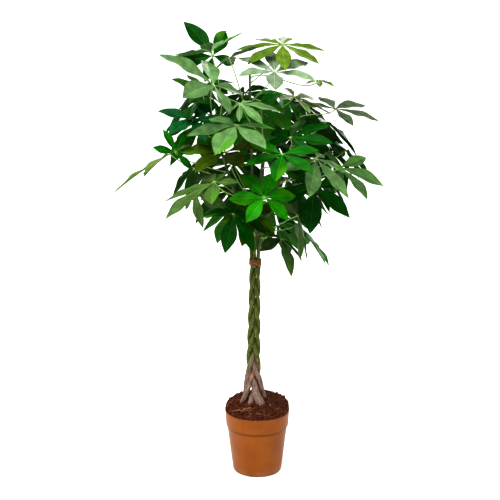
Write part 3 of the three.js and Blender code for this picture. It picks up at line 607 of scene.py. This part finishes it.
def pot_outline():
    """Half of a cut through the pot, from the underside up the outside and down inside, its edges rounded."""
    p = POT
    bottom, lip = p.height - p.band_height, p.height
    band, inner = p.wall_top + p.band_step, p.wall_foot - p.wall
    return [
        (0, 0), (p.pad_radius - 1, 0), (p.pad_radius + 1, p.recess),
        (p.foot_inner, p.recess), (p.foot_inner + 0.5, 0),
        (p.foot_outer, 0), (p.foot_outer + 2.6, 1.2), (p.wall_foot, p.chamfer),
        *slope((p.wall_foot, p.chamfer), (p.wall_top, bottom - 3), (0.02, 0.25, 0.5, 0.75, 0.98)),
        (p.wall_top + 0.4, bottom - 2.2), (band - 0.9, bottom - 0.7),
        *arc((band - 0.75, bottom + 0.55), 0.8, -60, 5, 4),
        *slope((band, bottom), (p.lip_radius, lip - 4), (0.1, 0.5, 0.9)),
        *arc((p.lip_radius - 1.7, lip - 1.7), 1.7, 0, 90, 6),
        *arc((p.lip_inner + 1.2, lip - 1.2), 1.2, 100, 180, 4),
        (band - p.wall, bottom + 2), (p.wall_top - p.wall, bottom - 4),
        (inner, p.floor + 4), (inner - 4, p.floor), (0, p.floor),
    ]


def build_pot():
    """The pot, turned, with its drain holes cut."""
    pot = mesh_object("pot_shell", *lathe(pot_outline(), POT_SEGMENTS), ["plastic"], POT_CREASE)
    hole_ring = (POT.pad_radius + 1 + POT.foot_inner) / 2
    pile = Pile()
    for i in range(POT.drain_holes):
        x, y = polar(hole_ring, math.tau * (i + 0.5) / POT.drain_holes)
        pile.add(*tube([(x, y, z) for z in (-10, 20)], [POT.drain_radius] * 2, 20))
    cutter = pile.piece("drain_cutter")
    cut = pot.modifiers.new("drain", "BOOLEAN")
    cut.operation = "DIFFERENCE"
    cut.solver = "EXACT"
    cut.object = cutter
    bpy.context.view_layer.objects.active = pot
    bpy.ops.object.modifier_apply(modifier=cut.name)
    bpy.data.objects.remove(cutter)
    pot.data.set_sharp_from_angle(angle=math.radians(POT_CREASE))
    finish_piece(pot, "pot_plastic", "pot")


# ---------- soil ----------

SOIL_RINGS, SOIL_SEGMENTS = 56, 144
SMOOTH = 180  # a crease angle that leaves no edge sharp
CLODS = Sizes(coarse=19, coarse_height=2.6, fine=5.5, fine_height=1.7)
CRUMBS = Sizes(count=900, reach=100, rim_count=110, rim=(95, 104.5))
BITS = Sizes(roots=34, root_reach=92, stations=8, chips=26, chip_reach=97, inside=99)
SIDE_ROOT = Sizes(left=-84, right=-20, front=-46, radius=(1.3, 2.9), stations=12)


def heap_height(x, y):
    """The soil's smooth height, as in the solid, before its crumbs."""
    cx, cy = SOIL.crown_at
    d = math.hypot(x - cx, y - cy) / (1.25 * POT.lip_radius)
    return SOIL.edge + 3.5 + SOIL.crown * max(0, 1 - d * d)


def clod_height(x, y):
    at = Vector((x, y, 0))
    coarse = noise.fractal(at / CLODS.coarse, 1.0, 2.0, 3)
    fine = noise.fractal(at / CLODS.fine + Vector((9, 4, 2)), 0.8, 2.0, 4)
    return heap_height(x, y) + CLODS.coarse_height * coarse + CLODS.fine_height * fine


def build_soil():
    """The peat: lumpy on top, over the lip at its edge, and down the inside of the pot."""
    rings, segments = SOIL_RINGS, SOIL_SEGMENTS
    lip = POT.lip_radius
    edge = POT.height + 1.2
    points = [(0, 0, clod_height(0, 0))]
    radii = [lip * 0.985 * (i + 1) / rings for i in range(rings)]
    heights = [None] * rings
    radii += [lip + 0.4, lip - 0.8, POT.lip_inner - 0.4, POT.lip_inner - 3, 92, 70]
    heights += [edge + 2.0, edge - 0.5, POT.height - 0.8, POT.height - 30, 120, 112]
    for radius, height in zip(radii, heights):
        for k in range(segments):
            x, y = polar(radius, math.tau * k / segments)
            wobble = 1.6 * noise.noise(Vector((x, y, 0)) / 6) if height and radius > lip - 1 else 0
            points.append((x, y, clod_height(x, y) if height is None else height + wobble))
    ring = np.arange(1, len(points)).reshape(-1, segments).tolist()
    faces = [(0, ring[0][k - 1], ring[0][k]) for k in range(segments)]
    faces += [(a, d, c, b) for a, b, c, d in ring_faces(ring)]
    faces.append(ring[-1])
    finish_piece(mesh_object("soil_bed", points, faces, ["peat"], SMOOTH), "peat", "soil")


def lump(random, centre, size, squash=0.7):
    """Points and faces of one small rough lump."""
    offset = Vector((random(), random(), random())) * 50
    turn = Vector((random() - 0.5, random() - 0.5, random() - 0.5)).normalized()
    spin = UP.rotation_difference(turn)

    def place(at):
        reach = 1 + 0.45 * noise.noise(at * 1.7 + offset)
        return spin @ Vector((at.x, at.y * 0.8, at.z * squash)) * (reach * size) + Vector(centre)

    return ball(1, place)


def place_within(random, reach):
    """A place on the peat, drawn evenly over a disc."""
    angle = math.tau * random()
    return polar(reach * math.sqrt(random()), angle)


def build_crumbs():
    """Crumbs all over the peat, and larger ones along the rim."""
    random = seeded(21)
    pile = Pile()
    for _ in range(CRUMBS.count):
        x, y = place_within(random, CRUMBS.reach)
        size = 1.0 + 2.6 * random() ** 3
        pile.add(*lump(random, (x, y, clod_height(x, y) + 0.2 * size), size))
    for _ in range(CRUMBS.rim_count):
        angle = math.tau * random()
        x, y = polar(lerp(CRUMBS.rim, random()), angle)
        size = 2.2 + 2.8 * random() ** 2
        pile.add(*lump(random, (x, y, clod_height(x, y) + 0.1 * size), size))
    finish_piece(pile.piece("soil_crumbs", "crumbs", crease=SMOOTH), "peat")


def fine_root(random):
    """Points and faces of one thin root, bent along the peat."""
    x, y = place_within(random, BITS.root_reach)
    heading = math.tau * random()
    length = 12 + 34 * random()
    bend = 1.6 * (random() - 0.5)
    line = []
    for t in shares(BITS.stations):
        across, back = polar(length * t, heading + bend * t)
        px, py = x + across, y + back
        inside = min(1, BITS.inside / math.hypot(px, py))
        px, py = px * inside, py * inside
        lift = 0.9 + 2.4 * math.sin(math.pi * t) * random()
        line.append((px, py, clod_height(px, py) + lift))
    thick = 0.4 + 0.55 * random()
    radii = [thick * (1 - 0.6 * (2 * t - 1) ** 2) for t in shares(BITS.stations)]
    return tube(line, radii, 6, first=(0, 0, 1))


def side_root():
    """Points and faces of the thicker root that shows at the front, left of the legs."""
    line = []
    for t in shares(SIDE_ROOT.stations):
        x = lerp((SIDE_ROOT.left, SIDE_ROOT.right), t)
        y = SIDE_ROOT.front - 7 * math.sin(3 * t)
        line.append((x, y, clod_height(x, y) + 0.8 + 1.2 * math.sin(0.4 * x)))
    return tube(line, [lerp(SIDE_ROOT.radius, t) for t in shares(SIDE_ROOT.stations)], 10, first=(0, 0, 1))


def build_root_bits():
    """Fine roots and chips of bark that lie on the peat."""
    random = seeded(5)
    pile = Pile()
    for _ in range(BITS.roots):
        pile.add(*fine_root(random))
    for _ in range(BITS.chips):
        x, y = place_within(random, BITS.chip_reach)
        size = 1.6 + 2.2 * random()
        pile.add(*lump(random, (x, y, clod_height(x, y) + 0.8), size, 0.3))
    pile.add(*side_root())
    finish_piece(pile.piece("soil_root_bits", "root", crease=60), "peat")


# ---------- stems ----------

def raised(value, power):
    """A power of a number that keeps its sign."""
    return math.copysign(abs(value) ** power, value)


def plait_section(z):
    """The plait at height z: its middle, half width and half depth, and its strands' radius."""
    t = (z - PLAIT.foot) / (PLAIT.head - PLAIT.foot)
    middle = [lerp(pair, t) for pair in zip(*PLAIT.axis)]
    return middle, lerp(PLAIT.half_width, t), lerp(PLAIT.half_depth, t), lerp(PLAIT.radius, t)


def plait_point(index, z):
    """Where a strand of the plait is at height z."""
    (x, y), half_width, half_depth, _ = plait_section(z)
    turn = math.radians(180 + 72 * index + 360 * (z - PLAIT.edge_height) / PLAIT.period)
    swing = raised(math.cos(turn), PLAIT.dwell)
    return Vector((x + half_width * swing, y - half_depth * math.sin(2 * turn), z))


def stem_stations(index):
    """The solid's stations of a stem, from its root end to its top, as (point, radius)."""
    leg, root, thigh, flare, top = STEMS[index]
    stations = [(Vector(p), lerp((thigh, flare), (i / (len(leg) - 1)) ** 2)) for i, p in enumerate(leg)]
    stations.append((Vector((*root, BURIED)), flare * 0.8))
    stations.reverse()
    for t in shares(PLAIT.knots):
        at = plait_point(index, lerp((PLAIT.foot, PLAIT.head), t))
        stations.append((at, lerp(PLAIT.radius, t)))
    head = plait_point(index, PLAIT.head)
    slope = head - plait_point(index, PLAIT.head - 1)
    end = Vector(top)
    gone = end - head
    shoot = (
        head,
        head + Vector((slope.x * 0.15, slope.y * 0.15, 1)) * 110,
        end - Vector((gone.x * 0.25, gone.y * 0.25, gone.z * 0.35)),
        end,
    )
    for t in shares(round(gone.z / 45))[1:]:
        stations.append((bezier(shoot, t), lerp((PLAIT.radius[1], TIP_RADIUS), t)))
    return stations


def stem_at(index, z):
    """The point, direction and radius of the solid stem at height z."""
    stations = stem_stations(index)
    above = next(i for i, (at, _) in enumerate(stations) if at.z > z)
    (low, low_radius), (high, high_radius) = stations[above - 1], stations[above]
    t = (z - low.z) / (high.z - low.z)
    return low.lerp(high, t), (high - low).normalized(), lerp((low_radius, high_radius), t)


def smooth_line(stations, finer):
    """Points and radii along a smooth curve through the stations, `finer` for each span."""
    points, thick = zip(*stations)
    ends_doubled = (points[0], *points, points[-1])
    line, radii = [], []
    for i, (before, a, b, after) in enumerate(zip(*(ends_doubled[j:] for j in range(4)))):
        span = (b - a).length
        pull_a = (b - before).normalized() * span / 3
        pull_b = (after - a).normalized() * span / 3
        for k in range(finer):
            t = k / finer
            line.append(bezier((a, a + pull_a, b - pull_b, b), t))
            radii.append(lerp(thick[i:i + 2], t))
    return [*line, points[-1]], [*radii, thick[-1]]


STEM_SIDES, STEM_FINER = 20, 9
WOODY_BELOW, WOODY_FADE = 430, 120  # where the bark starts to turn woody, and how far down it is wholly so
# Pairs are for green stems and for woody legs, as shares of the solid's radius.
BARK_SWELL = (1.05, 1.24)
BARK_RIDGES = (0.035, 0.075)
BARK_KNOBS = (0.02, 0.05)


def build_stem(index):
    """A stem with ridged bark, swollen nodes and the scars of fallen leaves."""
    sides = STEM_SIDES
    line, radii = smooth_line(stem_stations(index), STEM_FINER)
    random = seeded(40 + index)
    run = [0.0]
    for a, b in zip(line, line[1:]):
        run.append(run[-1] + (b - a).length)
    nodes, at = [], 150 + 40 * random()
    while at < run[-1]:
        nodes.append((at, random() * math.tau))
        at += 26 + 34 * random()
    offset = Vector((index * 31, 0, 0))
    scars = np.zeros((len(line), sides))

    def relief(i, k):
        angle = math.tau * k / sides
        swell, scar = 0.0, 0.0
        for place, toward in nodes:
            near = math.exp(-((run[i] - place) / 3.2) ** 2)
            if near < 0.01:
                continue
            facing = max(0, math.cos(angle - toward))
            swell += 0.05 * near + 0.12 * near * facing**3
            scar += math.exp(-((run[i] - place - 1.5) / 1.6) ** 2) * facing**4
        scars[i, k] = min(1, scar)
        ring = Vector((*polar(1, angle), 0))
        ridges = noise.noise(Vector((ring.x * 2.2, ring.y * 2.2, run[i] / 42)) + offset)
        knobs = noise.noise(Vector((ring.x * 1.3, ring.y * 1.3, run[i] / 11)) + offset)
        woody = max(0, min(1, (WOODY_BELOW - line[i].z) / WOODY_FADE))
        rough = lerp(BARK_RIDGES, woody) * ridges + lerp(BARK_KNOBS, woody) * knobs
        return lerp(BARK_SWELL, woody) + swell + rough

    points, faces = tube(line, radii, sides, relief)
    grain = []
    for i, radius in enumerate(radii):
        for k in range(sides):
            half_turn = abs(2 * k / sides - 1) * math.pi
            grain.append((half_turn * radius + 90 * index, run[i], scars[i, k]))
    stem = mesh_object(f"stem_bark_{index + 1}", points, faces, ["bark"], 60, {"grain": grain})
    finish_piece(stem, "bark", f"stem_{index + 1}")


# ---------- tie ----------

RAFFIA = Sizes(turns=6, steps=44, radius=1.6, start=-1.4, inset=1.8, wander=0.5)
KNOT = Sizes(at=-1.15, steps=16, radius=1.2, half_height=4.2, half_width=0.16)
KNOT_LOOPS = ((0, 0.5), (1.3, -0.6))  # each loop's shift upwards, and its tilt
LOOSE_ENDS = ((-0.10, 13), (0.13, 10))  # how far each end drifts round the plait, and its length
END_RADII = (1.1, 1.15, 1.15, 1.1, 1.05, 0.95, 0.7)


def tie_point(z, angle, out):
    """A point round the head of the plait, `out` from the band's inner face."""
    (x, y), half_width, half_depth, radius = plait_section(z)
    grow = radius * 1.05 + GAP + out
    across, back = (raised(v, TIE.square) for v in polar(1, angle))
    return x + (half_width + grow) * across, y + (half_depth + grow) * back, z


def build_tie():
    """Raffia wound round the plait, with a small knot and two short ends."""
    random = seeded(3)
    pile = Pile()
    middle = (TIE.bottom + TIE.top) / 2
    climb = TIE.top - TIE.bottom - 2 * RAFFIA.inset
    line = []
    for i in range(RAFFIA.turns * RAFFIA.steps + 1):
        turns = i / RAFFIA.steps
        z = TIE.bottom + RAFFIA.inset + climb * turns / RAFFIA.turns
        z += RAFFIA.wander * math.sin(i * 0.9) * random()
        line.append(tie_point(z, math.tau * turns + RAFFIA.start, 0.1))
    radii = [RAFFIA.radius] * len(line)
    pile.add(*tube(line, radii, 8, lambda i, k: 0.95 + 0.1 * ((k + i // 9) % 2), (0, 0, 1)))
    for shift, tilt in KNOT_LOOPS:
        loop = []
        for t in shares(KNOT.steps):
            a = math.tau * t
            z = middle + KNOT.half_height * math.sin(a) + shift
            angle = KNOT.at + KNOT.half_width * math.cos(a + tilt)
            loop.append(tie_point(z, angle, 0.8 + 0.4 * math.cos(a)))
        pile.add(*tube(loop, [KNOT.radius] * len(loop), 8, first=(0, 0, 1)))
    for drift, length in LOOSE_ENDS:
        end = [tie_point(middle - length * t, KNOT.at + drift * t, 2.0 + 0.8 * math.sin(math.pi * t))
               for t in shares(len(END_RADII) - 1)]
        pile.add(*tube(end, END_RADII, 6))
    finish_piece(pile.piece("raffia_tie", "twine", crease=70), "tie_band", "braid_tie")


# ---------- leaves ----------

def blade_frame(leaf):
    """A blade's normal, its longest leaflet's direction, and the direction to the left of it."""
    lean, toward, spin = (math.radians(leaf[key]) for key in ("lean", "toward", "spin"))
    normal = Vector((*polar(math.sin(lean), toward), math.cos(lean)))
    forward = UP.rotation_difference(normal) @ Vector((*polar(1, spin), 0))
    return normal, forward, normal.cross(forward)


def leaflets(leaf):
    """Each leaflet of a leaf: its length, the direction it runs in, and the direction to its left."""
    normal, forward, left = blade_frame(leaf)
    droop = math.radians(leaf["droop"])
    for i in range(leaf["count"]):
        angle = (i - (leaf["count"] - 1) / 2) * math.radians(leaf["step"])
        length = leaf["size"] * (1 - leaf["fade"] * math.sin(angle / 2) ** 2)
        outward = forward * math.cos(angle) + left * math.sin(angle)
        run = outward * math.cos(droop) - normal * math.sin(droop)
        yield length, run, normal.cross(outward)


def draw_leaf(random, tops):
    """A place for a leaf of the crown, drawn by the solids' rule."""
    def between(pair):
        return lerp(pair, random())

    stem = 1 + math.floor(random() * len(STEMS))
    start = between((CROWN.lowest, tops[stem - 1] - CROWN.below_top))
    toward = random() * 360
    reach = between(CROWN.reach)
    heading = math.radians(toward)
    rise = between(CROWN.rise)
    count = math.floor(between((CROWN.count[0], CROWN.count[1] + 1)))
    leaf = dict(stem=stem, start=start, count=count, toward=toward,
                fade=CROWN.fade, half_width=CROWN.half_width)
    leaf["hub"] = stem_at(stem - 1, start)[0] + Vector((*polar(reach, heading), rise))
    for key in ("size", "lean", "turn", "droop", "sag"):
        leaf[key] = between(getattr(CROWN, key))
    leaf["spin"] = toward + leaf["turn"]
    leaf["step"] = min(CROWN.step, CROWN.full_circle / count)
    return leaf


def fits_node(leaf, corners):
    """Are all the leaflets' tips corners of a solid?"""
    for length, run, _ in leaflets(leaf):
        tip = np.array(Vector(leaf["hub"]) + run * length - UP * (length * leaf["sag"]))
        if np.abs(corners - tip).max(axis=1).min() > CROWN.match:
            return False
    return True


def corners_of(name):
    """A CAD node's corners in millimetres."""
    return np.array([v.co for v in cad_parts[name].data.vertices]) / METRE


def crown_leaves():
    """The crown's leaves: for each solid, the first drawn place whose leaflets end at its corners."""
    random = seeded(CROWN.seed)
    tops = [top[2] for *_, top in STEMS]
    first = len(FRONT_LEAVES) + 1
    waiting = [corners_of(f"leaf_{first + i:02d}") for i in range(CROWN.leaves)]
    found = []
    for _ in range(CROWN.most_draws):
        if not waiting:
            return found
        leaf = draw_leaf(random, tops)
        if fits_node(leaf, waiting[0]):
            leaf["tone"] = CROWN_TONES[len(found) % len(CROWN_TONES)]
            found.append(leaf)
            waiting.pop(0)
    raise RuntimeError(f"{len(waiting)} leaves of the crown are at none of the drawn places")


BLADE_ROWS = [0, 0.02, 0.045, 0.075, 0.11, *(0.15 + 0.0425 * i for i in range(19)), 0.955, 0.98, 1]
BLADE_COLUMNS = [-1, -0.72, -0.42, -0.13, 0, 0.13, 0.42, 0.72, 1]
TIP_INSET = 0.8  # how far inside the solids' tips the leaflets end
# How much leaflets differ: the fold's share, the sideways bend as a share of length, the twist in degrees,
# and the waves along a margin, with their size as a share of its half width.
FOLDS, BEND, TWIST = (0.85, 1.25), 0.05, 24
WAVES, WAVE_SIZE = (1.6, 3.2), (0.05, 0.10)
THIN, THICK_FOOT, FOOT_LENGTH = 0.22, 1.2, 9  # half thickness of a leaflet, and more at its foot
RIB_UNDER, RIB_GROOVE, RIB_WIDTH = 0.75, 0.12, 0.1


def blade_share(t):
    """A leaflet's half width along its length, as a share of the widest."""
    return math.sin(math.pi * t**1.25) ** 1.05 if 0 < t < 1 else 0


def blade_faces():
    """The faces of a leaflet, whose points go up it row by row, with an upper and a lower one in turn."""
    wide = len(BLADE_COLUMNS)
    last, top = wide - 1, len(BLADE_ROWS) - 1

    def upper(i, j):
        return 2 * (i * wide + j)

    def lower(i, j):
        return upper(i, j) + 1

    faces = []
    for i in range(top):
        for j in range(last):
            faces.append((upper(i + 1, j), upper(i + 1, j + 1), upper(i, j + 1), upper(i, j)))
            faces.append((lower(i, j + 1), lower(i + 1, j + 1), lower(i + 1, j), lower(i, j)))
        faces.append((lower(i, 0), lower(i + 1, 0), upper(i + 1, 0), upper(i, 0)))
        faces.append((upper(i + 1, last), lower(i + 1, last), lower(i, last), upper(i, last)))
    for j in range(last):
        faces.append((upper(0, j + 1), lower(0, j + 1), lower(0, j), upper(0, j)))
        faces.append((lower(top, j), lower(top, j + 1), upper(top, j + 1), upper(top, j)))
    return faces


BLADE_FACES = blade_faces()


def add_leaflet(pile, leaf, length, run, left, random, tint):
    """One leaflet with a short stalk, a ridged midrib, arched halves and a slightly wavy margin."""
    hub = Vector(leaf["hub"])
    length -= TIP_INSET
    full = leaf["half_width"] * length * min(1, leaf["step"] / LEAF.full_step)
    fold = math.sin(math.radians(LEAF.fold)) * lerp(FOLDS, random())
    bend = BEND * (random() - 0.5) * length
    twist = math.radians(TWIST) * (random() - 0.5)
    waves = [(lerp(WAVES, random()), random(), lerp(WAVE_SIZE, random())) for _ in range(2)]
    seed = random()
    points, place, measure = [], [], []
    for t in BLADE_ROWS:
        along = (run - UP * (2 * leaf["sag"] * t)).normalized()
        up = along.cross(left).normalized()
        across = left * math.cos(twist * t) + up * math.sin(twist * t)
        lift = along.cross(across).normalized()
        middle = hub + run * (length * t) - UP * (length * leaf["sag"] * t * t)
        middle += left * (bend * 4 * t * (1 - t))
        reach = max(full * blade_share(t), 1.5 * (1 - t) ** 3 + 0.12)
        thick = THIN + THICK_FOOT * math.exp(-((t * length / FOOT_LENGTH) ** 2))
        for s in BLADE_COLUMNS:
            rate, shift, size = waves[s > 0]
            wave = size * s * s * math.sin(math.tau * (rate * t + shift)) * min(1, 6 * t * (1 - t))
            arch = fold * (1.4 * abs(s) - 0.4 * s * s) + wave
            at = middle + across * (s * reach) + lift * (arch * reach)
            rib = math.exp(-((s / RIB_WIDTH) ** 2))
            above = thick - RIB_GROOVE * rib
            below = thick + RIB_UNDER * rib * (1 - 0.7 * t)
            for is_upper, out in ((1, above), (0, -below)):
                points.append(tuple(at + lift * out))
                place.append((s, t, is_upper))
                measure.append((s * reach, t * length, seed))
    pile.add(points, BLADE_FACES, 0, place=place, measure=measure, tint=[(*tint, 1)] * len(points))


STALK_SIDES, STALK_STEPS = 8, 22


def add_stalk(pile, leaf, random):
    """The leaf's stalk, swollen at its foot and under the blade, and the knob that the leaflets grow from."""
    normal = blade_frame(leaf)[0]
    hub = Vector(leaf["hub"])
    at, along, radius = stem_at(leaf["stem"] - 1, leaf["start"])
    away = hub - at
    radial = (away - along * away.dot(along)).normalized()
    foot = at + radial * (radius + GAP)
    end = hub - normal * (LEAF.hub_height / 2)
    span = (end - foot).length
    arrival = (normal + away.normalized() * 0.8).normalized()
    path = (foot, foot + radial * (span * 0.25) + along * (span * 0.15), end - arrival * (span * 0.3), end)
    line = [bezier(path, t) for t in shares(STALK_STEPS)]
    line[0] = foot - radial * 1.2
    radii = []
    for t in shares(STALK_STEPS):
        foot_swell = 1.3 * math.exp(-((t * span / 7) ** 2))
        head_swell = 1.1 * math.exp(-(((1 - t) * span / 6) ** 2))
        radii.append(LEAF.petiole_radius * 0.86 + foot_swell + head_swell)
    seed = random()
    stalk = tube(line, radii, STALK_SIDES, first=(0.3, 0.2, 0.93))
    along_stalk = [
        (side * 1.4, 14 + span * t, seed) for t in shares(STALK_STEPS) for side in range(STALK_SIDES)
    ]
    tilt = UP.rotation_difference(normal)
    wide, high = LEAF.hub_radius * 0.95, 2.3
    knob = ball(2, lambda at: hub + tilt @ Vector((at.x * wide, at.y * wide, at.z * high)))
    for (points, faces), measure in ((stalk, along_stalk), (knob, [(1, 9, seed)] * len(knob[0]))):
        plain = dict(place=[(0, 1, 1)] * len(points), tint=[(0, 0, 0, 1)] * len(points))
        pile.add(points, faces, 1, measure=measure, **plain)


def build_leaf(number, leaf):
    random = seeded(100 + number)
    tone = TONES[leaf["tone"]]
    pile = Pile()
    for length, run, left in leaflets(leaf):
        shade = lerp(LEAFLET_SHADES, random())
        tint = tuple(channel * shade for channel in tone)
        add_leaflet(pile, leaf, length, run, left, random, tint)
    add_stalk(pile, leaf, random)
    piece = pile.piece(f"foliage_{number:02d}", "blade", "stalk", crease=55)
    finish_piece(piece, "leaf", f"leaf_{number:02d}")


# ---------- the whole plant ----------

build_pot()
build_soil()
build_crumbs()
build_root_bits()
for stem_index in range(len(STEMS)):
    build_stem(stem_index)
build_tie()
for leaf_index, chosen in enumerate([dict(zip(FIELDS, row)) for row in FRONT_LEAVES] + crown_leaves()):
    build_leaf(leaf_index + 1, chosen)


# ---------- floor, light and camera ----------

FLOOR_HALF, FLOOR_LOW = 8000, -0.4
FLOOR_TONE, FLOOR_ROUGHNESS = 0.8, 0.9
# From here on, places and sizes are in metres.
EYE = (0, -3, 1.37)
EYE_DOWN, EYE_LEFT = 11.9, 0.45  # degrees
FOCAL_PIXELS, PICTURE_PIXELS, SENSOR = 968, 500, 36.0
DOME = (0.10, 0.55, 1.15, 0.45)  # between these shares of the way up, the light falls from 1.15 to 0.45
SUN_FROM = (-0.30, -0.55, 1.35)
SUN_STRENGTH, SUN_WIDTH = 3.6, 75
CROWN_MIDDLE = Vector((0, 0, 1))
# Lamps that face the middle of the crown: a name, a place, a size and a power in watts.
SOFT_BOXES = (("key", (-0.9, -1.3, 3.2), 1.2, 45), ("back", (1.1, 2.2, 2), 1.8, 40))


def build_floor():
    MATERIALS["floor"] = Look("floor").surface((FLOOR_TONE,) * 3, FLOOR_ROUGHNESS)
    corners = [(x * FLOOR_HALF, y * FLOOR_HALF, FLOOR_LOW) for x, y in ((-1, -1), (1, -1), (1, 1), (-1, 1))]
    mesh_object("floor", corners, [range(4)], ["floor"])


def add_lamp(name, kind, place, direction, **settings):
    light = bpy.data.lights.new(name, kind)
    for setting, value in settings.items():
        setattr(light, setting, value)
    lamp = add_object(name, light)
    lamp.location = place
    lamp.rotation_euler = direction.to_track_quat("-Z", "Y").to_euler()


def build_world():
    """A white studio: bright round the horizon, dimmer overhead, where the lamps do the work."""
    world = bpy.data.worlds.new("studio")
    n = Tree(world)
    upward = n.split(n.node("TexCoord").outputs["Generated"])[2]
    background = n.tree.nodes["Background"]
    n.put((1, 1, 1), background.inputs["Color"])
    n.put(n.ramp(upward, *DOME), background.inputs["Strength"])
    bpy.context.scene.world = world


def build_lamps():
    sun = dict(energy=SUN_STRENGTH, angle=math.radians(SUN_WIDTH))
    add_lamp("soft_sun", "SUN", (0, 0, 0), -Vector(SUN_FROM), **sun)
    for name, place, size, watts in SOFT_BOXES:
        direction = CROWN_MIDDLE - Vector(place)
        add_lamp(name, "AREA", place, direction, shape="DISK", size=size, energy=watts)
    bpy.context.scene.view_settings.view_transform = "Standard"
    bpy.context.scene.view_settings.look = "High Contrast"


def build_camera():
    camera = bpy.data.cameras.new("camera")
    camera.sensor_width = SENSOR
    camera.lens = FOCAL_PIXELS / PICTURE_PIXELS * SENSOR
    eye = add_object("camera", camera)
    eye.location = EYE
    eye.rotation_euler = (math.radians(90 - EYE_DOWN), 0, math.radians(EYE_LEFT))
    bpy.context.scene.camera = eye


build_floor()
build_world()
build_lamps()
build_camera()

bpy.context.view_layer.update()
